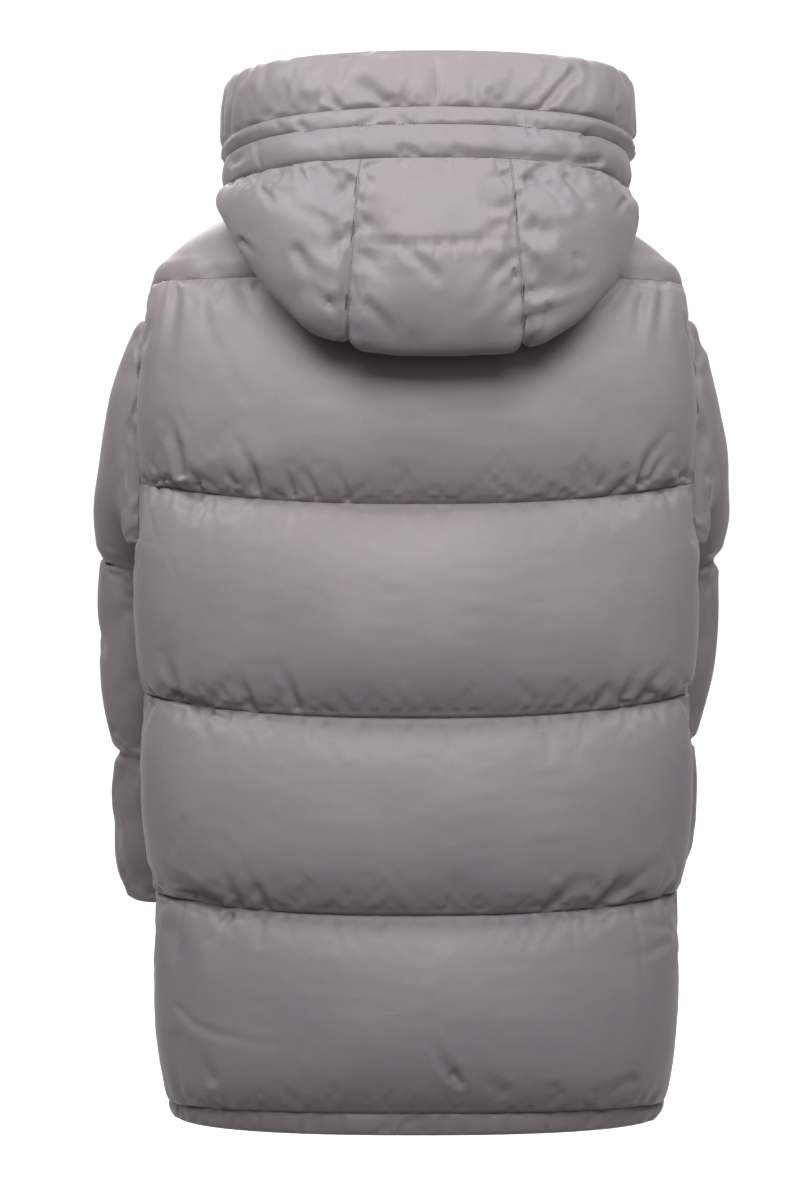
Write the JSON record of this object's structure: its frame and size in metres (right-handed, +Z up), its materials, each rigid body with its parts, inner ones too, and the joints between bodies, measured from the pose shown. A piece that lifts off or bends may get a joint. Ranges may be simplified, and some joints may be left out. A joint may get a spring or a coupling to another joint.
{
  "type": "hooded puffer coat",
  "caption": "Long hooded puffer coat, worn shape with no wearer: hollow body and sleeves, hood lying back, zip closed.",
  "frame": {"origin": "middle of the neck opening at the height of the neck seam at the wearer's shoulders, where the coat hangs from them", "axes": "+Z up along the wearer, -Y out of the wearer's front, +X to the wearer's left"},
  "size_m": [0.628, 0.5564, 0.9938],
  "materials": {
    "shell": "fine matt nylon with a soft sheen, mauve grey",
    "zip_tape": "woven tape",
    "metal": "satin grey metal"
  },
  "bodies": {
    "coat": {"back": "shell", "back_yoke": "shell", "hem_back": "shell", "front_left": "shell", "front_right": "shell", "hem_front_left": "shell", "hem_front_right": "shell", "sleeve_left": "shell", "sleeve_right": "shell", "hood_centre": "shell", "hood_side_left": "shell", "hood_side_right": "shell", "hood_band": "shell", "brim_left": "shell", "brim_right": "shell", "zip_tape_left": "zip_tape", "zip_tape_right": "zip_tape", "zip_slider": "metal"},
    "pull_tab": {"zip_pull_tab": "metal"}
  },
  "joints": [
    {"name": "tab_hinge", "type": "hinge", "parent": "coat", "child": "pull_tab", "pos_m": [0, -0.121, 0.03], "axis": [-1, 0, 0], "range_deg": [0, 120]}
  ]
}
